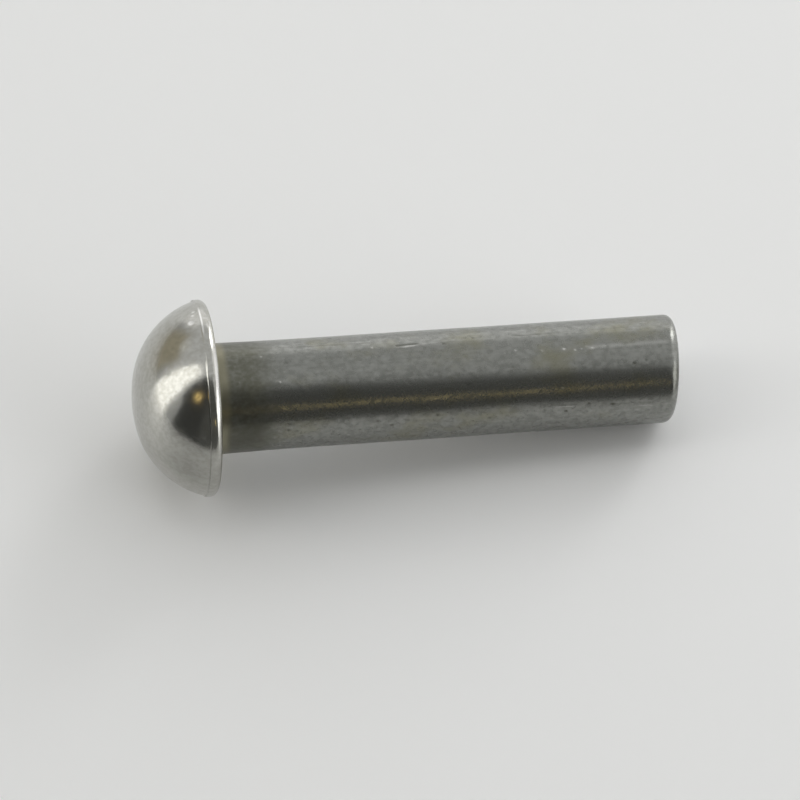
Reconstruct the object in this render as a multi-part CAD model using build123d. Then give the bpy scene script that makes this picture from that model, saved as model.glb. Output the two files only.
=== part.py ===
from build123d import *
import math
import os

# A solid round-head rivet, cold-headed in one blow from a length of drawn steel wire.
# It stands on its cropped tail end with the head up: the origin is the middle of that end,
# and +Z is square to it. All sizes are in millimetres.

# Shank: plain round wire, measured along its middle from the tail to the bearing face
shank_diameter = 6.0
shank_length = 25.8

# Tail: the cropping die leaves the end out of square, in degrees, and tumbling rounds its edge
tail_out_of_square = 4.4
tail_edge_radius = 0.5

# Neck: the blow that makes the head also thickens the shank a little just below it
neck_swell = 0.05
neck_length = 5.0
neck_fillet = 0.2

# Band: the rim of the head, formed in the mouth of the die, with a narrow ledge round the dome
band_diameter = 10.8
band_height = 0.65
ledge_width = 0.06
bearing_edge_radius = 0.4

# Dome: a slightly flattened crown runs into one shoulder arc that comes down to the ledge
dome_height = 3.63
crown_radius = 8.0
crown_reach = 1.3

# The header's two dies don't line up quite true, so the head sits off the shank's axis
head_offset = 0.09

shank_radius = shank_diameter / 2
band_radius = band_diameter / 2
ledge_radius = band_radius - ledge_width
ledge_level = shank_length + band_height
crown_level = ledge_level + dome_height


def revolved(outline):
    """The solid that a closed outline sweeps round the shank's axis. Its points are (radius, height)."""
    return revolve(Plane.XZ * make_face(outline), Axis.Z)


def wire_and_neck():
    """The shank's wire, longer than the rivet at the tail, and its swell below the head."""
    spare = shank_radius
    neck_start = (shank_radius, shank_length - neck_length)
    neck_end = (shank_radius + neck_swell, shank_length)
    outline = [
        Line((0, -spare), (shank_radius, -spare)),
        Line((shank_radius, -spare), neck_start),
        TangentArc(neck_start, neck_end, tangent=(0, 1)),
        Line(neck_end, (0, shank_length)),
        Line((0, shank_length), (0, -spare)),
    ]
    return revolved(outline)


def band_and_dome():
    """The head on its own axis: bearing face, rounded bearing edge, band, ledge and dome."""
    face_edge = (band_radius - bearing_edge_radius, shank_length)
    band_foot = (band_radius, shank_length + bearing_edge_radius)
    band_top = (band_radius, ledge_level)
    dome_foot = (ledge_radius, ledge_level)
    crown_turn = math.asin(crown_reach / crown_radius)
    crown_edge = (crown_reach, crown_level - crown_radius * (1 - math.cos(crown_turn)))
    outline = [
        Line((0, shank_length), face_edge),
        TangentArc(face_edge, band_foot, tangent=(1, 0)),
        Line(band_foot, band_top),
        Line(band_top, dome_foot),
        TangentArc(crown_edge, dome_foot, tangent=(math.cos(crown_turn), -math.sin(crown_turn))),
        TangentArc((0, crown_level), crown_edge, tangent=(1, 0)),
        Line((0, crown_level), (0, shank_length)),
    ]
    return revolved(outline)


def upset_rivet():
    """Wire and head as one piece of steel, the head a little off the axis, with the neck's fillet."""
    head = Pos(head_offset, 0, 0) * band_and_dome()
    rivet = head + wire_and_neck()
    neck_corner = rivet.edges().filter_by(GeomType.CIRCLE).filter_by(
        lambda edge: math.isclose(edge.radius, shank_radius + neck_swell, abs_tol=1e-5)
    )
    return fillet(neck_corner, neck_fillet)


def cropped(rivet):
    """The rivet with its tail end cropped out of square, and the new edge rounded."""
    end_plane = Plane.XY.rotated((0, tail_out_of_square, 0))
    rivet = split(rivet, bisect_by=end_plane, keep=Keep.TOP)
    cut_edge = rivet.edges().filter_by(GeomType.ELLIPSE)
    return fillet(cut_edge, tail_edge_radius)


def standing(rivet):
    """The rivet as it stands on its cropped end, which lies flat and tips the shank towards -X."""
    return Rot(0, -tail_out_of_square, 0) * rivet


os.makedirs("parts", exist_ok=True)
rivet = standing(cropped(upset_rivet()))
export_step(rivet, "parts/rivet.step")
print("volume", round(rivet.volume, 1), "mm3, box", rivet.bounding_box())
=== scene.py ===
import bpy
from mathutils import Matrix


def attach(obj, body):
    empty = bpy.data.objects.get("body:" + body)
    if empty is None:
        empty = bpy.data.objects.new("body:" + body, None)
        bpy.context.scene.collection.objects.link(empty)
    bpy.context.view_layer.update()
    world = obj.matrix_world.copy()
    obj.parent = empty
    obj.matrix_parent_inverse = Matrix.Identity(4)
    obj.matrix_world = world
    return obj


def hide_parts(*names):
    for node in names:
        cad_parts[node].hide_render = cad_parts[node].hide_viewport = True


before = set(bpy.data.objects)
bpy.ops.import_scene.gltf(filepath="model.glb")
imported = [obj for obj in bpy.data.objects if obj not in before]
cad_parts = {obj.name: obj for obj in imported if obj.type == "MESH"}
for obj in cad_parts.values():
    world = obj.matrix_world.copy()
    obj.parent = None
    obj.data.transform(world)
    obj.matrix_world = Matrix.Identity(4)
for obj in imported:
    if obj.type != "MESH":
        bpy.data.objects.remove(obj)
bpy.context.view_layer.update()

# %% [markdown]
# # A solid rivet with a round head
#
# The object is a single piece of steel. A length of drawn wire was cropped off, and one blow between
# two dies turned its end into a domed head with a thin upright band. The head came out of a polished
# die, so it mirrors the lamps. The shank kept the wire's dull drawn skin, with long streaks and pits.
#
# The CAD solid already has the right form, but its faces are perfectly smooth. Here the rivet is
# turned again as one dense mesh from the same sizes, so that the pits, scratches and dents of the
# real skin can be pressed into it. The mesh then stands in for the CAD node.

# %% Modules and units
import math

import bpy
import numpy as np
from mathutils import Matrix, Vector

MM = 0.001  # sizes below are in millimetres, and Blender's unit is the metre
SEED = 6
rng = np.random.default_rng(SEED)
print("one millimetre is", MM, "of Blender's units, and random marks start from seed", SEED)

# %% [markdown]
# ## The rivet's sizes
#
# These are the sizes of the real rivet in millimetres, measured along the shank's middle from the
# tail. The shank leans a little, because the tail was cropped out of square and the rivet stands on
# it. The head sits slightly off the shank, because the two dies didn't quite line up.

# %% Sizes
SHANK_RADIUS = 3.0
SHANK_LENGTH = 25.8
TAIL_OUT_OF_SQUARE = math.radians(4.4)
TAIL_EDGE = 0.5
NECK_SWELL = 0.05
NECK_LENGTH = 5.0
NECK_FILLET = 0.2
BAND_RADIUS = 5.4
BAND_HEIGHT = 0.65
BEARING_EDGE = 0.4
LEDGE = 0.06
DOME_HEIGHT = 3.63
CROWN_RADIUS = 8.0
CROWN_REACH = 1.3
HEAD_OFFSET = 0.09

LEDGE_LEVEL = SHANK_LENGTH + BAND_HEIGHT
CROWN_LEVEL = LEDGE_LEVEL + DOME_HEIGHT
print("the rivet is", round(CROWN_LEVEL, 2), "mm long and", 2 * BAND_RADIUS, "mm wide at its head")

# %% [markdown]
# ## From the rivet's own axes to the scene's
#
# It is easiest to describe a turned thing round its own axis and to tip it afterwards. So every
# point is first written as (x, y, along), with `along` measured up the shank, and `to_scene` leans
# it the way that the real rivet leans on its cropped end. `to_rivet` goes back the other way.

# %% The lean
LEAN = Matrix.Rotation(-TAIL_OUT_OF_SQUARE, 3, "Y")


def to_scene(point):
    """A point in the rivet's own millimetres becomes a point of the scene in metres."""
    return LEAN @ Vector(point) * MM


def to_rivet(point):
    """A point of the scene in metres becomes a point in the rivet's own millimetres."""
    return LEAN.transposed() @ Vector(point) / MM


shank_axis = LEAN @ Vector((0, 0, 1))
print("the shank leans", round(math.degrees(shank_axis.angle((0, 0, 1))), 2), "degrees")

# %% [markdown]
# ## The camera
#
# The photograph was taken with a long lens, looking a little down the dome, with the rivet lying
# across the picture. Fitting a camera to the outline gave a line of sight by azimuth and
# elevation, and a quarter turn about it, so the picture's right is the rivet's down.

# %% Camera
PICTURE_WIDTH = 800
FOCAL_PIXELS = 4300.0
SENSOR_MM = 36.0
CAMERA_AZIMUTH = math.radians(-29.42)
CAMERA_ELEVATION = math.radians(6.95)
CAMERA_ROLL = math.radians(-90.0)
CAMERA_DISTANCE = 236.74
CAMERA_AIM = Vector((-1.830, 0.361, 15.238))

to_camera = Vector((
    math.sin(CAMERA_AZIMUTH) * math.cos(CAMERA_ELEVATION),
    -math.cos(CAMERA_AZIMUTH) * math.cos(CAMERA_ELEVATION),
    math.sin(CAMERA_ELEVATION),
))
upright = to_camera.to_track_quat("Z", "Y").to_matrix()
turn = (upright @ Matrix.Rotation(CAMERA_ROLL, 3, "Z")).to_4x4()
camera_data = bpy.data.cameras.new("camera")
camera_data.sensor_width = SENSOR_MM
camera_data.lens = SENSOR_MM * FOCAL_PIXELS / PICTURE_WIDTH
camera = bpy.data.objects.new("camera", camera_data)
camera.matrix_world = Matrix.Translation((CAMERA_AIM + to_camera * CAMERA_DISTANCE) * MM) @ turn
bpy.context.scene.collection.objects.link(camera)
bpy.context.scene.camera = camera
camera_place = camera.matrix_world.translation.copy()
picture_right, picture_up = (turn.to_3x3().col[k].normalized() for k in (0, 1))
print("lens", round(camera_data.lens, 1), "mm, picture's right is", [round(v, 3) for v in picture_right])

# %% [markdown]
# ## Finding a mark's place on the shank
#
# Some marks show clearly in the photograph, and their places are given by pixel. A sight line
# through that pixel meets the shank's cylinder, and that gives the mark's place along the shank and
# its angle round it. The mark then belongs to the surface, and stays there from every side.


# %% From a pixel to the shank
def sight_line(pixel):
    """The camera's place and the direction through a pixel, in the rivet's own axes."""
    across, down = ((v - PICTURE_WIDTH / 2) / FOCAL_PIXELS for v in pixel)
    ray = -to_camera + picture_right * across - picture_up * down
    return to_rivet(camera_place), (LEAN.transposed() @ ray).normalized()


def on_shank(pixel):
    """(millimetres along the shank, angle round it) of the point that a pixel shows."""
    start, ray = sight_line(pixel)
    a = ray.x**2 + ray.y**2
    b = start.x * ray.x + start.y * ray.y
    c = start.x**2 + start.y**2 - SHANK_RADIUS**2
    point = start + ray * ((-b - math.sqrt(max(b * b - a * c, 0.0))) / a)
    return point.z, math.atan2(point.y, point.x)


print("the middle of the picture shows", [round(v, 2) for v in on_shank((400, 400))])

# %% [markdown]
# ## The outline to turn
#
# A turned shape needs half of its section. Straight runs and arcs are joined into one list of
# (radius, along) points, from the middle of the tail up to the crown. The steps between points are
# short enough for a pit to show, about a tenth of a millimetre, and shorter round the edges. The
# flat faces carry no marks, so they make do with longer steps.

# %% Runs and arcs
STEP = 0.122
DOME_STEP = 0.088
FINE_STEP = 0.045
CORNER_STEP = FINE_STEP / 3
FLAT_STEP = 3 * STEP


def run(start, end, step=STEP):
    """Points from start up to but not including end."""
    count = max(1, round(math.dist(start, end) / step))
    return [tuple(s + (e - s) * k / count for s, e in zip(start, end)) for k in range(count)]


def arc(centre, radius, start, end, step=FINE_STEP):
    """Points on an arc, its angles in radians from the direction of growing radius."""
    count = max(2, math.ceil(abs(end - start) * radius / step))
    angles = [start + (end - start) * k / count for k in range(count)]
    return [(centre[0] + radius * math.cos(a), centre[1] + radius * math.sin(a)) for a in angles]


print("a quarter of the tail's edge takes", len(arc((0, 0), TAIL_EDGE, 0, math.pi / 2)), "points")

# %% [markdown]
# ### Tail, shank and neck
#
# The tail is flat with a tumbled edge. The shank is straight up to the neck, which swells by a
# twentieth of a millimetre where the blow squeezed it, and ends in a small fillet under the head.


# %% Outline of the shank
def shank_outline():
    """Tail face, tail edge, shank, swollen neck and fillet."""
    flat = SHANK_RADIUS - TAIL_EDGE
    neck_start = SHANK_LENGTH - NECK_LENGTH
    neck_end = SHANK_LENGTH - NECK_FILLET
    neck_radius = SHANK_RADIUS + NECK_SWELL
    rows = run((STEP, 0.0), (flat, 0.0), FLAT_STEP)
    rows += arc((flat, TAIL_EDGE), TAIL_EDGE, -math.pi / 2, 0.0)
    rows += run((SHANK_RADIUS, TAIL_EDGE), (SHANK_RADIUS, neck_start))
    for _, along in run((0.0, neck_start), (0.0, neck_end)):
        rows.append((SHANK_RADIUS + NECK_SWELL * ((along - neck_start) / NECK_LENGTH) ** 2, along))
    return rows + arc((neck_radius + NECK_FILLET, neck_end), NECK_FILLET, math.pi, math.pi / 2)


print("shank rows:", len(shank_outline()))

# %% [markdown]
# ### The dome's two arcs
#
# The dome is a tight shoulder arc that runs tangent into a flatter crown arc. The crown's radius and
# reach are known, so the shoulder's centre follows: it lies on the line through the crown's centre
# and the join, as far from the join as from the dome's foot on the ledge.


# %% Arcs of the dome
def dome_arcs():
    """(centre, radius, start, end) of the shoulder arc and of the crown arc."""
    crown_centre = Vector((0.0, CROWN_LEVEL - CROWN_RADIUS))
    crown_turn = math.asin(CROWN_REACH / CROWN_RADIUS)
    outward = Vector((math.sin(crown_turn), math.cos(crown_turn)))
    join = crown_centre + outward * CROWN_RADIUS
    foot = Vector((BAND_RADIUS - LEDGE, LEDGE_LEVEL))
    chord = foot - join
    shoulder_radius = chord.length_squared / (2 * chord.dot(-outward))
    shoulder_centre = join - outward * shoulder_radius
    foot_angle = math.atan2(foot.y - shoulder_centre.y, foot.x - shoulder_centre.x)
    join_angle = math.pi / 2 - crown_turn
    shoulder = (shoulder_centre, shoulder_radius, foot_angle, join_angle)
    crown = (crown_centre, CROWN_RADIUS, join_angle, math.pi / 2)
    return shoulder, crown


print("shoulder arc radius:", round(dome_arcs()[0][1], 2))

# %% [markdown]
# ### Band and dome
#
# The head's back is flat up to a rounded bearing edge. The band stands upright, its top corner just
# broken, and a hair-thin crease lies between it and the dome. The corner turns only part of the way
# and then drops into the crease, because a full rounding would catch a bright line all the way
# round, which the real one doesn't. Points in pairs, very close together, keep the corner and the
# crease sharp, where smooth shading would round them.

# %% Outline of the head
BAND_CORNER = 0.12
CORNER_TURN = math.radians(20)
CREASE_DEPTH = 0.035
SHARP = 0.006  # between the two points of a pair
BAND_DRAFT = math.tan(math.radians(1.2))  # the die is a touch wider at its mouth


def head_outline():
    """Bearing face, bearing edge, band, crease, shoulder and crown."""
    neck_reach = SHANK_RADIUS + NECK_SWELL + NECK_FILLET
    face_reach = BAND_RADIUS - BEARING_EDGE
    edge_top = SHANK_LENGTH + BEARING_EDGE
    corner_foot = LEDGE_LEVEL - BAND_CORNER * math.sin(CORNER_TURN)
    band_top = BAND_RADIUS - (corner_foot - edge_top) * BAND_DRAFT
    corner_end = band_top - BAND_CORNER * (1 - math.cos(CORNER_TURN))
    shoulder, crown = dome_arcs()
    foot_angle = shoulder[2]
    drop = Vector((-math.sin(foot_angle), math.cos(foot_angle))) * -CREASE_DEPTH
    crease_x, crease_y = BAND_RADIUS - LEDGE + drop.x, LEDGE_LEVEL + drop.y

    rows = run((neck_reach, SHANK_LENGTH), (face_reach, SHANK_LENGTH), FLAT_STEP)
    rows += arc((face_reach, edge_top), BEARING_EDGE, -math.pi / 2, 0.0)
    rows += run((BAND_RADIUS, edge_top), (band_top, corner_foot), FINE_STEP)
    rows += arc((band_top - BAND_CORNER, corner_foot), BAND_CORNER, 0.0, CORNER_TURN, CORNER_STEP)
    rows += [(corner_end + SHARP / 3, LEDGE_LEVEL - SHARP), (corner_end, LEDGE_LEVEL)]
    rows += [(corner_end - SHARP, LEDGE_LEVEL - SHARP)]
    rows += [(crease_x + SHARP, crease_y), (crease_x, crease_y + SHARP)]
    rows += arc(*shoulder, DOME_STEP) + arc(*crown, DOME_STEP)
    return rows[:-1]


print("head rows:", len(head_outline()))

# %% [markdown]
# ## The skin's relief
#
# Drawn wire isn't smooth. The die leaves long shallow streaks, handling leaves pits and nicks, and
# the whole surface waves by a few thousandths of a millimetre. On bare metal that is enough to
# break up every reflection. A map of heights over the unrolled shank, the skin, holds all of it:
# soft random noise for the streaks and waves, and single marks where the photograph shows them.

# %% A map of heights
COLUMNS = 276
MAP_STEP = 0.1
MAP_ROWS = round(SHANK_LENGTH / MAP_STEP) + 1
FULL_TURN = 2 * math.pi
ARC_STEP = FULL_TURN * SHANK_RADIUS / COLUMNS
RELIEF_LAYERS = (  # (spread of the heights, size along, size round), all in mm
    (0.0055, 1.5, 0.55),
    (0.0010, 0.45, 0.26),
    (0.0003, 1.6, 0.10),
)

map_along = np.arange(MAP_ROWS)[:, None] * MAP_STEP
map_round = np.arange(COLUMNS)[None, :] * 2 * math.pi / COLUMNS


def kept_by_blur(count, size):
    """How much a blur of so many cells leaves of each wave that fits into so many cells."""
    waves = np.fft.fftfreq(count) * 2 * math.pi * size
    return np.exp(-0.5 * waves**2)


def smooth_noise(shape, blur):
    """Noise of unit spread, blurred by (rows, columns) cells. It closes on itself round the rivet."""
    noise = np.fft.fft2(rng.standard_normal(shape))
    noise *= kept_by_blur(shape[0], blur[0])[:, None]
    noise *= kept_by_blur(shape[1], blur[1])[None, :]
    noise = np.fft.ifft2(noise).real
    return noise / noise.std()


def relief(spread, along_mm, round_mm):
    """Noise for the shank, its height's spread and its size along and round the shank in mm."""
    return spread * smooth_noise((MAP_ROWS, COLUMNS), (along_mm / MAP_STEP, round_mm / ARC_STEP))


skin = np.zeros((MAP_ROWS, COLUMNS))
for layer in RELIEF_LAYERS:
    skin += relief(*layer)
print("relief spread in mm:", round(float(skin.std()), 4))

# %% [markdown]
# ### Marks from the photograph
#
# A pit is a small round hollow, and a scratch is a narrow groove between two points. With a depth
# below 0 they are raised instead. Both are soft-edged, because the rivet was tumbled after it was
# headed. A shade spot has no depth: it darkens the skin as painted shade, the strongest ones on the
# shank's underside next to the head. The pixels are places in the 800 by 800 photograph.

# %% The marks
PITS = [  # (pixel, width in mm, depth in mm)
    ((261, 357), 0.15, -0.009), ((285, 372), 0.14, -0.007), ((280, 382), 0.16, -0.009),
    ((284, 380), 0.18, 0.006), ((316, 350), 0.11, -0.005), ((347, 403), 0.12, -0.007),
    ((372, 348), 0.16, -0.008), ((416, 341), 0.12, -0.006), ((515, 350), 0.16, -0.006),
    ((505, 353), 0.16, -0.004), ((445, 339), 0.20, 0.010), ((465, 338), 0.18, 0.010),
    ((473, 338), 0.16, 0.012), ((480, 337), 0.14, 0.008), ((564, 349), 0.15, -0.008),
    ((570, 350), 0.10, -0.005), ((575, 350), 0.13, -0.008), ((582, 349), 0.11, -0.005),
    ((586, 346), 0.13, -0.007), ((593, 348), 0.10, -0.005), ((605, 346), 0.12, -0.004),
    ((556, 351), 0.10, -0.004), ((538, 388), 0.12, -0.008), ((544, 388), 0.11, -0.008),
    ((563, 388), 0.14, -0.010), ((578, 382), 0.14, -0.007), ((635, 363), 0.20, 0.012),
    ((638, 361), 0.10, -0.006), ((632, 361), 0.10, -0.005), ((647, 360), 0.16, 0.012),
    ((378, 421), 0.24, 0.010), ((392, 425), 0.24, 0.012), ((408, 420), 0.20, 0.010),
    ((438, 415), 0.20, 0.010), ((442, 418), 0.14, 0.008), ((489, 418), 0.20, 0.010),
    ((566, 411), 0.34, -0.007), ((566, 411), 0.20, 0.024), ((589, 403), 0.20, 0.013),
    ((591, 401), 0.10, -0.006), ((545, 410), 0.16, 0.010), ((613, 404), 0.26, 0.008),
    ((297, 431), 0.22, 0.008), ((302, 436), 0.18, 0.008), ((300, 428), 0.12, -0.004),
    ((325, 427), 0.20, 0.008), ((345, 424), 0.14, -0.004), ((330, 350), 0.12, 0.006),
]
SCRATCHES = [  # (from pixel, to pixel, width in mm, depth in mm)
    ((232, 350), (300, 347), 0.12, 0.005), ((300, 347), (372, 343), 0.12, 0.006),
    ((296, 350), (314, 348), 0.10, -0.004), ((340, 342), (372, 340), 0.20, 0.005),
    ((396, 346), (418, 344), 0.12, 0.011), ((396, 348), (414, 346), 0.12, -0.004),
    ((404, 347), (454, 340), 0.14, -0.0035), ((454, 341), (482, 339), 0.14, -0.002),
    ((492, 337), (560, 333), 0.08, 0.003), ((515, 336), (655, 325), 0.10, 0.005),
    ((298, 382), (307, 392), 0.11, -0.004), ((592, 347), (672, 341), 0.42, -0.004),
    ((515, 351), (590, 348), 0.22, -0.002), ((640, 402), (656, 402), 0.12, 0.006),
    ((640, 405), (656, 405), 0.08, -0.005), ((610, 404), (632, 403), 0.12, 0.006),
    ((552, 407), (575, 406), 0.12, -0.005),
]
PAINTED_SHADE_SPOTS = [  # (pixel, width in mm, strength)
    ((240, 438), 2.6, 0.55), ((262, 432), 2.4, 0.40),
    ((236, 372), 1.6, 0.15), ((285, 436), 1.6, 0.15),
]
print("pits:", len(PITS), "scratches:", len(SCRATCHES), "smudges:", len(PAINTED_SHADE_SPOTS))

# %% [markdown]
# ### Pressing them in
#
# Hollows hold dirt and raised spots are rubbed bright, so each mark is also noted in a second map,
# the tint, which the finish reads later. The painted shade spots are noted there too. Distances round
# the shank are taken the shorter way, so that a mark can lie across the line where the map closes.

# %% Pressing marks into the skin
FULL_TINT = 0.012  # a mark this deep or high shows its dirt or its bare metal fully

tint_and_painted_light = np.zeros_like(skin)


def round_from(angle):
    """How far each column of the map lies from an angle, in mm round the shank."""
    return (np.remainder(map_round - angle + math.pi, 2 * math.pi) - math.pi) * SHANK_RADIUS


def soft_spot(place, width):
    """A round spot at (along, angle), 1 in its middle and soft at its edge."""
    along, angle = place
    return np.exp(-((map_along - along) ** 2 + round_from(angle) ** 2) / (width / 2) ** 2)


def soft_line(start, end, width):
    """A straight line from one (along, angle) to another, 1 in its middle and soft at its edge."""
    (a0, r0), (a1, r1) = start, end
    run_along, run_round = a1 - a0, (r1 - r0) * SHANK_RADIUS
    length = math.hypot(run_along, run_round)
    across = round_from(r0)
    down = ((map_along - a0) * run_along + across * run_round) / length
    off = ((map_along - a0) * run_round - across * run_along) / length
    beyond = np.maximum(0.0, np.maximum(-down, down - length))
    return np.exp(-(off**2 + beyond**2) / (width / 2) ** 2)


def press(shape, depth):
    """Presses a shape of unit height into the skin, or raises it where depth is below 0."""
    global skin, tint_and_painted_light
    skin -= depth * shape
    tint_and_painted_light -= depth / FULL_TINT * shape


for pixel, width, depth in PITS:
    press(soft_spot(on_shank(pixel), width), depth)
for first, last, width, depth in SCRATCHES:
    press(soft_line(on_shank(first), on_shank(last), width), depth)
# painted shade: the shade spots darken the tint map, most of all on the underside by the head
for pixel, width, strength in PAINTED_SHADE_SPOTS:
    tint_and_painted_light -= strength * soft_spot(on_shank(pixel), width)
print("tint runs from", round(float(tint_and_painted_light.min()), 2), "to", round(float(tint_and_painted_light.max()), 2))

# %% [markdown]
# ### Marks all round
#
# The photograph shows one side. The rest of the shank has been through the same wire die and the
# same tumbling barrel, so it gets marks of the same kind and number, from the seeded generator.

# %% Random marks
RANDOM_PITS = 420
PIT_REACH = (1.0, SHANK_LENGTH - 0.5)
PIT_WIDTHS = (0.11, 0.24)
PIT_DEPTHS = (-0.005, 0.008)
RANDOM_SCRATCHES = 26
SCRATCH_REACH = (1.5, SHANK_LENGTH - 4)
SCRATCH_LENGTHS = (0.5, 4.0)
SCRATCH_SLANTS = (-0.03, 0.03)
SCRATCH_WIDTHS = (0.08, 0.14)
SCRATCH_DEPTHS = (-0.004, 0.004)

for _ in range(RANDOM_PITS):
    place = (rng.uniform(*PIT_REACH), rng.uniform(0, FULL_TURN))
    press(soft_spot(place, rng.uniform(*PIT_WIDTHS)), rng.uniform(*PIT_DEPTHS))
for _ in range(RANDOM_SCRATCHES):
    start = (rng.uniform(*SCRATCH_REACH), rng.uniform(0, FULL_TURN))
    end = (start[0] + rng.uniform(*SCRATCH_LENGTHS), start[1] + rng.uniform(*SCRATCH_SLANTS))
    press(soft_line(start, end, rng.uniform(*SCRATCH_WIDTHS)), rng.uniform(*SCRATCH_DEPTHS))
print("relief runs from", round(float(skin.min()), 4), "to", round(float(skin.max()), 4), "mm")

# %% [markdown]
# ## Turning the mesh
#
# Each outline point becomes a ring of points. The skin's heights lift them square to the surface.
# The skin fades out on the tail's edge and just before the neck's fillet, so that nothing grows
# past the CAD solid's ends.

# %% Rows of the outline
SKIN_MARGIN = 0.3  # the skin keeps off both ends of the shank
TAIL_FADE = 0.4
NECK_FADE = 0.3

outline = np.array(shank_outline() + head_outline())
tangents = np.gradient(outline, axis=0)
tangents /= np.linalg.norm(tangents, axis=1, keepdims=True)
normals = np.stack([tangents[:, 1], -tangents[:, 0]], 1)
radius, along = outline[:, :1], outline[:, 1:]
on_the_shank = np.clip((along - SKIN_MARGIN) / TAIL_FADE, 0, 1)
on_the_shank = on_the_shank * np.clip((SHANK_LENGTH - SKIN_MARGIN - along) / NECK_FADE, 0, 1)
map_row = np.clip(along[:, 0] / MAP_STEP, 0, MAP_ROWS - 1)
below = np.minimum(map_row.astype(int), MAP_ROWS - 2)
share = (map_row - below)[:, None]
lift = (skin[below] * (1 - share) + skin[below + 1] * share) * on_the_shank
marks_and_painted_light = (tint_and_painted_light[below] * (1 - share) + tint_and_painted_light[below + 1] * share) * on_the_shank
print("rings:", len(outline), "of", COLUMNS, "points")

# %% [markdown]
# ### Waves of the dome
#
# The dome is polished but not perfect: the die left it slightly uneven. The unevenness is kept off
# the band and the crown's middle, and it is sunk by twice its spread, so that it hardly ever stands
# out and the head stays inside its true size.

# %% Waves
DOME_WAVES = ((0.0048, 6.5), (0.0009, 2.4))  # (spread in mm, size in mesh cells)
CALM_CROWN = 1.5

in_the_dome = along[:, 0] > LEDGE_LEVEL
for spread, size in DOME_WAVES:
    waves = spread * smooth_noise((len(outline), COLUMNS), (size, size))
    lift += (waves - 2 * spread) * (in_the_dome[:, None] * np.clip(radius / CALM_CROWN, 0, 1) ** 2)
print("the dome's deepest hollow:", round(float(lift[in_the_dome].min()), 4), "mm")

# %% [markdown]
# ### The rings' places
#
# The tail's rings are sheared, because that end is out of square, and the shear fades out a few
# millimetres up the shank. The head's rings move sideways by its offset. The lean comes last, when
# the mesh is made.

# %% Rings of points
SHEAR_END = 4.0
SHEAR_FADE = 3.0
OFFSET_FADE = 0.5

angles = np.arange(COLUMNS) * 2 * math.pi / COLUMNS
neck_reach = SHANK_RADIUS + NECK_SWELL + NECK_FILLET
offset = HEAD_OFFSET * np.clip((radius - neck_reach) / OFFSET_FADE, 0, 1)
offset = np.where(along > SHANK_LENGTH + BEARING_EDGE / 2, HEAD_OFFSET, offset)
offset = np.where(along < SHANK_LENGTH - NECK_FILLET / 2, 0.0, offset)


def ring_points(lift):
    """All ring points in the rivet's own millimetres, as rows by columns by 3."""
    reach = radius + lift * normals[:, :1]
    x = reach * np.cos(angles) + offset
    y = reach * np.sin(angles)
    shear = -x * math.tan(TAIL_OUT_OF_SQUARE) * np.clip((SHEAR_END - along) / SHEAR_FADE, 0, 1)
    z = along + lift * normals[:, 1:] + shear
    return np.stack([x, y, z], 2)


points = ring_points(lift)
print("points:", points.shape[0] * points.shape[1])

# %% [markdown]
# ### Dents in the dome
#
# The dome carries a few dents, some rubbed bright and some dirty. They are given by pixel too, and
# found by looking for the ring point that the camera shows nearest to that pixel. A point on the
# far side can lie near the same pixel, so nearer points are preferred.

# %% From a pixel to a ring point
NEARER_COUNTS = 4  # a millimetre further off counts as much as a miss by two pixels


def in_picture(points):
    """The pixels at which the camera shows these points, and how far off they are in mm."""
    place = points @ np.array(LEAN).T - np.array(camera_place) / MM
    depth = place @ np.array(-to_camera)
    across = place @ np.array(picture_right) / depth
    up = place @ np.array(picture_up) / depth
    return PICTURE_WIDTH / 2 + FOCAL_PIXELS * across, PICTURE_WIDTH / 2 - FOCAL_PIXELS * up, depth


def shown_at(pixel, choice, nearer_counts=0):
    """The ring point, out of a choice of them, that is shown nearest to a pixel."""
    miss = (seen_x - pixel[0]) ** 2 + (seen_y - pixel[1]) ** 2
    miss = np.where(choice, miss + (depth - nearest) * nearer_counts, np.inf)
    return points[np.unravel_index(np.argmin(miss), miss.shape)]


seen_x, seen_y, depth = in_picture(points)
nearest = depth[in_the_dome].min()
print("the dome's nearest point is", round(float(nearest), 1), "mm from the camera")

# %% Dents
DOME_MARKS = [  # (pixel, width in mm, depth in mm, shine: above 0 is rubbed bright, below 0 is dirty)
    ((191, 323), 0.34, 0.018, 1.5), ((193, 316), 0.18, 0.010, 1.2), ((193, 312), 0.18, 0.010, 1.3),
    ((186, 326), 0.16, 0.010, -0.15), ((188, 345), 0.80, 0.010, 0.0), ((182, 375), 0.12, 0.007, -0.25),
    ((175, 381), 0.11, 0.007, -0.25), ((178, 388), 0.12, 0.005, 0.0), ((159, 414), 0.14, 0.008, -0.25),
    ((203, 441), 0.28, 0.018, 0.0), ((196, 440), 0.16, 0.008, 0.0), ((150, 470), 0.30, 0.005, 0.0),
    ((168, 372), 0.30, 0.006, 0.0), ((186, 366), 0.16, -0.006, 0.0), ((163, 330), 0.40, 0.005, 0.0),
]
RANDOM_DENTS = 70
DENT_WIDTHS = (0.12, 0.22)
DENT_DEPTHS = (0.0, 0.004)
RIM_ROWS = 4  # random dents keep this many rings off the crease,
CROWN_ROWS = 8  # and this many off the crown's middle


def press_dent(centre, width, dent, shine):
    """A soft dent in the dome round a point in the rivet's own millimetres."""
    global lift, marks_and_painted_light
    shape = np.exp(-((points - centre) ** 2).sum(2) / (width / 2) ** 2) * in_the_dome[:, None]
    lift -= dent * shape
    marks_and_painted_light += shine * shape


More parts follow.
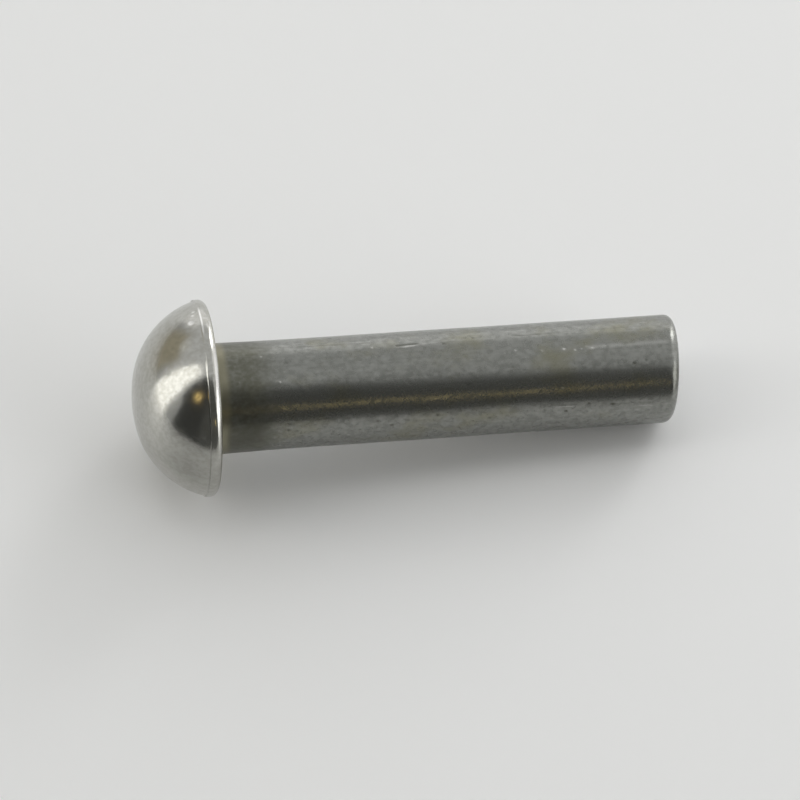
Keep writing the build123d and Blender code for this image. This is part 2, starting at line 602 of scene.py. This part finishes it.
for pixel, width, dent, shine in DOME_MARKS:
    press_dent(shown_at(pixel, in_the_dome[:, None], NEARER_COUNTS), width, dent, shine)
dome_rows = np.flatnonzero(in_the_dome)
for _ in range(RANDOM_DENTS):
    row = rng.integers(dome_rows[0] + RIM_ROWS, dome_rows[-1] - CROWN_ROWS)
    centre = points[row, rng.integers(COLUMNS)]
    press_dent(centre, rng.uniform(*DENT_WIDTHS), rng.uniform(*DENT_DEPTHS), 0.0)
points = ring_points(lift)
print("dents on the dome:", len(DOME_MARKS) + RANDOM_DENTS)

# %% [markdown]
# ### A painted highlight on the band's corner
#
# The band's top corner gets a painted highlight in its upper part, in the bright rubbed colour.
# The part is given by the picture's rows, and fades out softly beyond them.

# %% Part of an edge
CORNER_ROWS = (320.5, 13.5)  # (middle, reach)
PAINTED_HIGHLIGHT_WIDTH = 0.10

facing = depth < np.median(depth[in_the_dome])


def near_row(middle, reach):
    """1 round a row of the picture, and soon 0 beyond its reach."""
    return np.exp(-(((seen_y - middle) / reach) ** 4))


def under_row(start, fade):
    """0 above a row of the picture, and 1 from the end of the fade on."""
    return np.clip((seen_y - start) / fade, 0, 1)


on_the_corner = (along > LEDGE_LEVEL - PAINTED_HIGHLIGHT_WIDTH) & (along <= LEDGE_LEVEL)
# painted highlight: the corner's upper rows take the bright rubbed colour
marks_and_painted_light += on_the_corner * facing * near_row(*CORNER_ROWS)
print("rubbed points:", int((on_the_corner & facing & (near_row(*CORNER_ROWS) > 0.5)).sum()))

# %% [markdown]
# ### Painted shade on the head
#
# The lower part of the head, by the floor, is painted darker: a painted shade that deepens the
# shadowed floor that it mirrors. A wide soft spot of weak tint does this without an edge that the eye
# could find.

# %% Painted shade on the head
HEAD_SHADE_PIXEL = (192, 468)
HEAD_SHADE_SPREAD = 2.6
HEAD_SHADE_STRENGTH = 0.48

on_the_head = along > SHANK_LENGTH + 0.1
head_shade_centre = shown_at(HEAD_SHADE_PIXEL, facing & on_the_head)
head_shade = np.exp(-((points - head_shade_centre) ** 2).sum(2) / HEAD_SHADE_SPREAD**2)
# painted shade: the head darkens round the spot's middle
marks_and_painted_light -= HEAD_SHADE_STRENGTH * on_the_head * head_shade
print("the film's middle:", [round(float(v), 2) for v in head_shade_centre])

# %% [markdown]
# ### The other edges and corners
#
# The crease between band and dome and the corner under the head are painted darker in their lower
# part, a painted shade. The bearing edge gets a painted highlight lower down than the band's corner
# does, and the tail's edge gets painted shade in the middle of its near side, which dims its highlight
# there.

# %% Crease, bearing edge, corner and tail
CREASE_PAINTED_SHADE = 0.22
CREASE_ROWS = (425, 25)  # (start, fade)
BEARING_PAINTED_HIGHLIGHT = 0.7
BEARING_ROWS = (385, 42)  # (middle, reach)
NECK_PAINTED_SHADE = 0.12
NECK_ROWS = (400, 20)  # (start, fade)
TAIL_PAINTED_SHADE = 0.6
TAIL_ROWS = (378, 18)  # (middle, reach)

in_the_crease = (along > LEDGE_LEVEL - CREASE_DEPTH - 0.01) & (along < LEDGE_LEVEL + 0.05)
in_the_crease &= radius < BAND_RADIUS - LEDGE / 2
# painted shade: the crease darkens from its middle rows down
marks_and_painted_light -= CREASE_PAINTED_SHADE * in_the_crease * facing * under_row(*CREASE_ROWS)

bearing_edge = (along > SHANK_LENGTH + 0.01) & (along < SHANK_LENGTH + 0.25)
bearing_edge &= radius > BAND_RADIUS - BEARING_EDGE
# painted highlight: the bearing edge takes the bright rubbed colour round its middle rows
marks_and_painted_light += BEARING_PAINTED_HIGHLIGHT * bearing_edge * facing * near_row(*BEARING_ROWS)

in_the_corner = np.clip((along - SHANK_LENGTH + 1.3) / 0.6, 0, 1) * (along < SHANK_LENGTH)
# painted shade: the corner under the head darkens from its middle rows down
marks_and_painted_light -= NECK_PAINTED_SHADE * in_the_corner * facing * under_row(*NECK_ROWS)

tail_edge = (along > 0.06) & (along < TAIL_EDGE)
near_side = depth < np.median(depth[tail_edge[:, 0]])
# painted shade: the tail's edge darkens in the middle of its near side, which dims its highlight
marks_and_painted_light -= TAIL_PAINTED_SHADE * tail_edge * near_side * near_row(*TAIL_ROWS)
print("marks run from", round(float(marks_and_painted_light.min()), 2), "to", round(float(marks_and_painted_light.max()), 2))

# %% [markdown]
# ### One closed mesh
#
# Quads join each ring to the next, and a fan closes the tail and the crown. Each point also
# remembers its place in the rivet's own millimetres and its tint, which holds its marks and the
# painted light and shade, so that the finish can follow the shank and its marks.


# %% The rivet's mesh
def remember(mesh, name, kind, key, values):
    """Stores a value with each point of a mesh, under a name that a material can look up."""
    stored = mesh.attributes.new(name, kind, "POINT")
    stored.data.foreach_set(key, np.asarray(values, np.float32).ravel())


def closed_mesh(name, points, marks_and_painted_light):
    """A mesh of rings, closed at both ends, with each point's place and tint, its marks with painted
    light and shade.
    """
    count, around = points.shape[:2]
    ends = [(0.0, 0.0, 0.0), (HEAD_OFFSET, 0.0, CROWN_LEVEL)]
    places = np.concatenate([points.reshape(-1, 3), ends])
    tail, crown = len(places) - 2, len(places) - 1
    last = (count - 1) * around
    faces = []
    for low in range(0, last, around):
        high = low + around
        for column in range(around):
            after = (column + 1) % around
            faces.append((low + column, low + after, high + after, high + column))
    for column in range(around):
        after = (column + 1) % around
        faces.append((tail, after, column))
        faces.append((crown, last + column, last + after))
    mesh = bpy.data.meshes.new(name)
    mesh.from_pydata(places @ np.array(LEAN).T * MM, [], faces)
    remember(mesh, "place", "FLOAT_VECTOR", "vector", places)
    remember(mesh, "tint_and_painted_light", "FLOAT", "value", np.append(marks_and_painted_light.ravel(), [0.0, 0.0]))
    mesh.shade_smooth()
    return mesh


rivet_mesh = closed_mesh("rivet_skin", points, marks_and_painted_light)
rivet = bpy.data.objects.new("rivet_skin", rivet_mesh)
bpy.context.scene.collection.objects.link(rivet)
print("triangles:", sum(len(f.vertices) - 2 for f in rivet_mesh.polygons))

# %% [markdown]
# ## The steel
#
# One steel with two skins. The drawn skin of the shank is dull grey with long streaks, mottled with
# a thin olive tarnish that is strongest in the corner under the head. The head's skin is bright and
# nearly smooth. A few helpers keep the node code short.


# %% Helpers for nodes
def node(tree, kind, values=None, **inputs):
    """A new node, its settings from values and its inputs by name, or by number as n0, n1 and so on."""
    made = tree.nodes.new(kind)
    for key, value in (values or {}).items():
        setattr(made, key, value)
    for key, value in inputs.items():
        socket = made.inputs[int(key[1:]) if key.startswith("n") else key.replace("_", " ")]
        if isinstance(value, bpy.types.NodeSocket):
            tree.links.new(value, socket)
        else:
            socket.default_value = value
    return made


def ramp(tree, value, low, high, to_low=0.0, to_high=1.0):
    """The value mapped smoothly from low..high to to_low..to_high."""
    made = node(tree, "ShaderNodeMapRange", {"interpolation_type": "SMOOTHSTEP"},
                n0=value, n1=low, n2=high, n3=to_low, n4=to_high)
    return made.outputs[0]


def blend(tree, share, first, second):
    """A number between two, by a share from 0 to 1."""
    return node(tree, "ShaderNodeMix", {"data_type": "FLOAT"}, n0=share, n2=first, n3=second).outputs[0]


def mixed(tree, share, first, second):
    """A colour between two, by a share from 0 to 1."""
    made = node(tree, "ShaderNodeMix", {"data_type": "RGBA"}, n0=share)
    for index, value in ((6, first), (7, second)):
        if isinstance(value, bpy.types.NodeSocket):
            tree.links.new(value, made.inputs[index])
        else:
            made.inputs[index].default_value = (*value, 1.0)
    return made.outputs[2]


def times(tree, first, second):
    """The product of two numbers."""
    return node(tree, "ShaderNodeMath", {"operation": "MULTIPLY"}, n0=first, n1=second).outputs[0]


print("helpers for nodes:", ", ".join(helper.__name__ for helper in (node, ramp, blend, mixed, times)))

# %% [markdown]
# Patterns follow the place that each point of the mesh remembers, in the rivet's own millimetres, so
# a pattern's size can be read straight off its scale, and its streaks run along the leaning shank.


# %% Helpers for patterns
def noise(tree, place, scale, stretch=1.0, detail=3.0):
    """Noise from 0 to 1 over places in mm, scale cells to a mm, drawn out along the shank by stretch."""
    stretched = node(tree, "ShaderNodeVectorMath", {"operation": "MULTIPLY"},
                     n0=place, n1=(1.0, 1.0, 1.0 / stretch))
    made = node(tree, "ShaderNodeTexNoise",
                Vector=stretched.outputs[0], Scale=scale, Detail=detail, Roughness=0.55)
    return made.outputs[0]


def attribute(tree, name, output):
    """What each point of a mesh remembers under a name."""
    return node(tree, "ShaderNodeAttribute", {"attribute_name": name}).outputs[output]


def blank_material(name):
    """A new material with an empty node tree."""
    made = bpy.data.materials.new(name)
    made.use_nodes = True
    made.node_tree.nodes.clear()
    return made


steel = blank_material("steel")
tree = steel.node_tree
print("the steel starts with", len(tree.nodes), "nodes")

# %% [markdown]
# ### The skin's patterns
#
# Fine mottling comes from noise a quarter of a millimetre across, soft patches of tarnish from noise
# ten times as large, and faint streaks from noise drawn out along the shank. In the last
# millimetres below the head the skin is stained.

# %% Patterns
STAIN_RISE = (SHANK_LENGTH - 4.0, SHANK_LENGTH - 1.8)
HEAD_RISE = (SHANK_LENGTH + 0.02, SHANK_LENGTH + 0.12)

place = attribute(tree, "place", "Vector")
painted_light_and_marks = attribute(tree, "tint_and_painted_light", "Fac")
up_the_shank = node(tree, "ShaderNodeSeparateXYZ", n0=place).outputs[2]
head_share = ramp(tree, up_the_shank, *HEAD_RISE)
streaks = noise(tree, place, scale=6.0, stretch=18.0, detail=3.0)
mottle = noise(tree, place, scale=3.6, stretch=1.3, detail=6.0)
patches = noise(tree, place, scale=0.42, stretch=1.5, detail=4.0)
print("nodes for the patterns:", len(tree.nodes))

# %% [markdown]
# ### Colour
#
# Bare steel's colour is what it mirrors, so these are shares of the light for red, green and blue.
# The stain below the head is dark, with a paler ring in the corner itself. Marks come last: a high
# tint shows rubbed bare metal, and a painted highlight on the band's corner and the bearing edge; a
# low one shows dirt in the hollows, and painted shade on the shank by the head, in the corner under
# the head, in the crease, on the head's lower part and on the tail's edge.

# %% Colours of the steel
DULL_DARK = (0.200, 0.204, 0.189)
DULL_LIGHT = (0.300, 0.304, 0.286)
OLIVE = (0.225, 0.217, 0.150)
STAIN = (0.125, 0.125, 0.097)
RING = (0.265, 0.25, 0.18)
BRIGHT = (0.505, 0.502, 0.472)
BRIGHT_DIM = (0.435, 0.430, 0.395)
# the rubbed colour also paints highlights, and the dirt colour also paints shade
RUBBED_AND_PAINTED_HIGHLIGHT = (0.75, 0.745, 0.72)
DIRT_AND_PAINTED_SHADE = (0.085, 0.085, 0.070)
MOTTLE_RISE = (0.25, 0.75)
RING_RISE = (SHANK_LENGTH - 0.9, SHANK_LENGTH - 0.5)

dull = mixed(tree, ramp(tree, mottle, *MOTTLE_RISE), DULL_DARK, DULL_LIGHT)
dull = mixed(tree, ramp(tree, streaks, 0.40, 0.70, 0.0, 0.30), dull, DULL_DARK)
dull = mixed(tree, ramp(tree, patches, 0.50, 0.72, 0.0, 0.60), dull, OLIVE)
near_head = ramp(tree, up_the_shank, *STAIN_RISE)
dull = mixed(tree, times(tree, near_head, ramp(tree, mottle, *MOTTLE_RISE, 0.95, 0.60)), dull, STAIN)
dull = mixed(tree, ramp(tree, up_the_shank, *RING_RISE, 0.0, 0.8), dull, RING)
bright = mixed(tree, ramp(tree, mottle, 0.35, 0.65), BRIGHT_DIM, BRIGHT)
colour = mixed(tree, head_share, dull, bright)
# rubbed bare metal and painted highlights share this bright colour
colour = mixed(tree, ramp(tree, painted_light_and_marks, 0.1, 0.9), colour, RUBBED_AND_PAINTED_HIGHLIGHT)
# dirt and painted shade share this dark colour
colour = mixed(tree, ramp(tree, painted_light_and_marks, -0.1, -1.0), colour, DIRT_AND_PAINTED_SHADE)
print("nodes with the colour:", len(tree.nodes))

# %% [markdown]
# ### Roughness and grain
#
# The same mottling shifts the roughness, as on real wire, where a rougher spot is also a darker one.
# The grain is a bump of about a thousandth of a millimetre, too fine for the mesh, and finer still
# on the polished head. One shader then takes colour, roughness and grain together.

# %% Surface
DULL_ROUGHNESS = (0.30, 0.22)
STAIN_ROUGHNESS = 0.34
BRIGHT_ROUGHNESS = (0.20, 0.14)
GRAIN_HEIGHT = 0.0012

dull_roughness = ramp(tree, mottle, *MOTTLE_RISE, *DULL_ROUGHNESS)
dull_roughness = blend(tree, near_head, dull_roughness, STAIN_ROUGHNESS)
bright_roughness = ramp(tree, mottle, 0.3, 0.7, *BRIGHT_ROUGHNESS)
roughness = blend(tree, head_share, dull_roughness, bright_roughness)
dull_grain = noise(tree, place, scale=7.0, stretch=1.6, detail=4.0)
bright_grain = noise(tree, place, scale=6.0, detail=3.0)
grain = blend(tree, head_share, dull_grain, bright_grain)
bump = node(tree, "ShaderNodeBump", Strength=1.0, Distance=GRAIN_HEIGHT * MM, Height=grain)
shader = node(tree, "ShaderNodeBsdfPrincipled",
              Base_Color=colour, Roughness=roughness, Normal=bump.outputs[0], Metallic=1.0)
node(tree, "ShaderNodeOutputMaterial", Surface=shader.outputs[0])
rivet_mesh.materials.append(steel)
print("nodes in the steel:", len(tree.nodes))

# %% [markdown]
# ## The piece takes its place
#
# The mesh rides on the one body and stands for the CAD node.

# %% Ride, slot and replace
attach(rivet, "root")
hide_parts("rivet")
print("rivet_skin stands for the CAD node rivet")

# %% [markdown]
# ## Where the floor lies
#
# In the picture the rivet lies on its side on a pale floor, seen from above at an angle. Here the
# rivet keeps its standing frame, so the floor comes to the rivet: a large pale sheet touches the
# head's bearing edge and the tail's edge, on the side that the picture shows as below. Along the
# shank these two contacts settle its slope, and across the shank `FLOOR_SLOPE` does.

# %% The floor's place
FLOOR_SLOPE = math.radians(57.5)  # between the picture's up and the line of sight

across_up = (picture_up - shank_axis * picture_up.dot(shank_axis)).normalized()
across_out = (to_camera - shank_axis * to_camera.dot(shank_axis)).normalized()
rolled = across_up * math.cos(FLOOR_SLOPE) + across_out * math.sin(FLOOR_SLOPE)
settle = math.atan2(BAND_RADIUS - SHANK_RADIUS, SHANK_LENGTH + BEARING_EDGE - TAIL_EDGE)
floor_up = (rolled * math.cos(settle) + shank_axis * math.sin(settle)).normalized()
floor_far = (picture_up - floor_up * picture_up.dot(floor_up)).normalized()
floor_right = floor_far.cross(floor_up)
skin_points = np.array([v.co for v in rivet_mesh.vertices])
floor_level = float((skin_points @ np.array(floor_up)).min())
floor_centre = to_scene((0, 0, SHANK_LENGTH / 2))
floor_centre += floor_up * (floor_level - floor_centre.dot(floor_up))
print("the floor's normal:", [round(v, 3) for v in floor_up])

# %% [markdown]
# ## The floor's sheet
#
# The sheet has a face on one side only, so a camera behind it looks straight through. Its near edge
# lies just out of the picture, which the polished steel shows as the line where the pale floor
# ends. Seen along its surface it has a little sheen, as any smooth sheet has.

# %% Sheet
FLOOR_HALF = 900.0
FLOOR_NEAR = 90.0
FLOOR_COLOUR = (0.95, 0.955, 0.955, 1.0)
FLOOR_IOR = 1.35
FLOOR_ROUGHNESS = 0.35

half, near = FLOOR_HALF * MM, FLOOR_NEAR * MM
corners = ((-half, -near), (half, -near), (half, half), (-half, half))
sheet = [tuple(floor_centre + floor_right * i + floor_far * j) for i, j in corners]
floor_mesh = bpy.data.meshes.new("floor")
floor_mesh.from_pydata(sheet, [], [(0, 1, 2, 3)])
if floor_mesh.polygons[0].normal.dot(floor_up) < 0:
    floor_mesh.flip_normals()
floor = bpy.data.objects.new("floor", floor_mesh)
bpy.context.scene.collection.objects.link(floor)

pale = blank_material("pale_floor")
tree = pale.node_tree
matt = node(tree, "ShaderNodeBsdfDiffuse", Color=FLOOR_COLOUR)
sheen = node(tree, "ShaderNodeBsdfGlossy", Color=(1.0, 1.0, 1.0, 1.0), Roughness=FLOOR_ROUGHNESS)
grazing = node(tree, "ShaderNodeFresnel", IOR=FLOOR_IOR)
face = node(tree, "ShaderNodeMixShader", n0=grazing.outputs[0], n1=matt.outputs[0], n2=sheen.outputs[0])
clear = node(tree, "ShaderNodeBsdfTransparent")
behind = node(tree, "ShaderNodeNewGeometry").outputs["Backfacing"]
both = node(tree, "ShaderNodeMixShader", n0=behind, n1=face.outputs[0], n2=clear.outputs[0])
node(tree, "ShaderNodeOutputMaterial", Surface=both.outputs[0])
floor_mesh.materials.append(pale)
print("floor", 2 * FLOOR_HALF, "mm wide")

# %% [markdown]
# ## The studio
#
# Polished steel shows what stands round it, so the studio is built like a real one: soft boxes to
# light it and dark cards to draw its form. Each panel is a patch of a large dome over the rivet,
# given by its bearing over the floor, counted from the picture's far side towards its right, and by
# its height. Panels fade out at their edges. The camera itself doesn't see them.


# %% A panel's direction and light
def towards(bearing, height):
    """The direction at a bearing and a height over the floor, both in degrees."""
    b, h = math.radians(bearing), math.radians(height)
    level = floor_far * math.cos(b) + floor_right * math.sin(b)
    return level * math.cos(h) + floor_up * math.sin(h)


def glow(name, colour, strength, fade):
    """A plain glow that fades to clear at the panel's edges, over a share of its width."""
    made = blank_material(name)
    tree = made.node_tree
    mark = node(tree, "ShaderNodeSeparateXYZ", n0=attribute(tree, "mark", "Vector"))
    edges = []
    for share in mark.outputs[0], mark.outputs[1]:
        edges.append(ramp(tree, share, 0.0, fade))
        edges.append(ramp(tree, share, 1.0 - fade, 1.0, 1.0, 0.0))
    solid = edges[0]
    for edge in edges[1:]:
        solid = times(tree, solid, edge)
    light = node(tree, "ShaderNodeEmission", Color=(*colour, 1.0), Strength=strength)
    clear = node(tree, "ShaderNodeBsdfTransparent")
    both = node(tree, "ShaderNodeMixShader", n0=solid, n1=clear.outputs[0], n2=light.outputs[0])
    node(tree, "ShaderNodeOutputMaterial", Surface=both.outputs[0])
    return made


print("bearing 90 points along", [round(v, 3) for v in towards(90, 0)])

# %% [markdown]
# ### A panel's mesh
#
# A panel is curved like the dome that it belongs to. Each of its points remembers how far across and
# how far up the panel it lies, as shares from 0 to 1, and the glow reads them for its soft edges.

# %% A panel
PANEL_STEPS = 12


def panel(name, bearings, heights, distance, colour, strength, fade):
    """A curved panel of light, or a dark card where its colour is dark, between bearings and heights."""
    verts, faces, shares = [], [], []
    across = PANEL_STEPS + 1
    for i in range(across):
        for j in range(across):
            u, v = i / PANEL_STEPS, j / PANEL_STEPS
            bearing = bearings[0] + (bearings[1] - bearings[0]) * u
            height = heights[0] + (heights[1] - heights[0]) * v
            verts.append(tuple(floor_centre + towards(bearing, height) * distance * MM))
            shares.append((u, v, 0.0))
    for i in range(PANEL_STEPS):
        for j in range(PANEL_STEPS):
            k = i * across + j
            faces.append((k, k + 1, k + across + 1, k + across))
    mesh = bpy.data.meshes.new(name)
    mesh.from_pydata(verts, [], faces)
    remember(mesh, "mark", "FLOAT_VECTOR", "vector", shares)
    mesh.materials.append(glow(name, colour, strength, fade))
    made = bpy.data.objects.new(name, mesh)
    made.visible_camera = False
    bpy.context.scene.collection.objects.link(made)
    print(name, "at bearing", bearings, "and height", heights)


print("a panel has", PANEL_STEPS**2, "faces")

# %% [markdown]
# ### The panels
#
# On the left a tall soft box makes the broad bright streak on the dome, and one overhead lights the
# shank's upper side. Soft boxes on the right draw bright lines along the edges that face them. Pale
# cards fill the far side. A brown card gives the dome its brown patch, dark cards behind the camera
# make the dark part of the dome and of the shank, and two small warm lamps add the amber spot and
# the warm line.

# %% Setting up the panels
WHITE = (1.0, 1.0, 1.0)
BLACK = (0.055, 0.056, 0.053)
PANELS = [  # (name, bearings, heights, distance in mm, colour, strength, fade)
    ("left_soft_box", (-105.5, -78), (-6, 66), 520, (1.0, 0.99, 0.955), 1.95, 0.13),
    ("top_soft_box", (-105, -15), (70, 89), 530, (1.0, 1.0, 0.99), 2.0, 0.1),
    ("right_soft_box", (90, 132), (-5, 36), 540, WHITE, 2.4, 0.10),
    ("far_right_soft_box", (26, 49), (4, 44), 540, WHITE, 4.2, 0.15),
    ("right_pale_card", (46, 92), (-3, 62), 560, WHITE, 1.05, 0.08),
    ("far_pale_card", (-16, 26), (-6, 30), 570, WHITE, 1.18, 0.12),
    ("far_lamp", (-34, -13), (-6, 30), 560, (1.0, 1.0, 0.99), 1.0, 0.25),
    ("small_lamp", (-58, -45), (26, 38), 560, (1.0, 0.99, 0.92), 0.85, 0.45),
    ("brown_card", (-76, -34), (-6, 36), 580, (0.41, 0.375, 0.285), 1.0, 0.25),
    ("dark_card", (132, 213), (-8, 84), 600, (0.100, 0.101, 0.095), 1.0, 0.05),
    ("black_card", (207, 245), (-8, 84), 605, BLACK, 1.0, 0.05),
    ("high_black_card", (238, 251), (24, 80), 604, BLACK, 1.0, 0.15),
    ("warm_lamp_left", (222.5, 237), (38, 51.5), 590, (1.0, 0.72, 0.27), 1.8, 0.45),
    ("warm_lamp_right", (157.1, 161.4), (24.6, 29.0), 590, (1.0, 0.79, 0.36), 6.5, 0.4),
]
for values in PANELS:
    panel(*values)
print("panels:", len(PANELS))

# %% [markdown]
# ### The world
#
# Behind the panels the world is plain: a middle grey level with the floor, and paler overhead and
# underneath. The metal turns this slow change into a soft shade along its edges. Camera,
# reflections and light all see the same world.

# %% World
WORLD_LEVEL = (0.42, 0.425, 0.42)
WORLD_PALE = (0.66, 0.665, 0.66)
WORLD_RISE = (0.05, 0.6)  # as sines of the height over the floor or under it

world = bpy.data.worlds.new("studio_world")
bpy.context.scene.world = world
world.use_nodes = True
tree = world.node_tree
tree.nodes.clear()
ray = node(tree, "ShaderNodeTexCoord").outputs["Generated"]
height = node(tree, "ShaderNodeVectorMath", {"operation": "DOT_PRODUCT"}, n0=ray, n1=tuple(floor_up))
steepness = node(tree, "ShaderNodeMath", {"operation": "ABSOLUTE"}, n0=height.outputs["Value"])
sky = mixed(tree, ramp(tree, steepness.outputs[0], *WORLD_RISE), WORLD_LEVEL, WORLD_PALE)
backdrop = node(tree, "ShaderNodeBackground", Color=sky, Strength=1.0)
node(tree, "ShaderNodeOutputWorld", Surface=backdrop.outputs[0])
bpy.context.scene.view_settings.view_transform = "Standard"
print("nodes in the world:", len(tree.nodes))
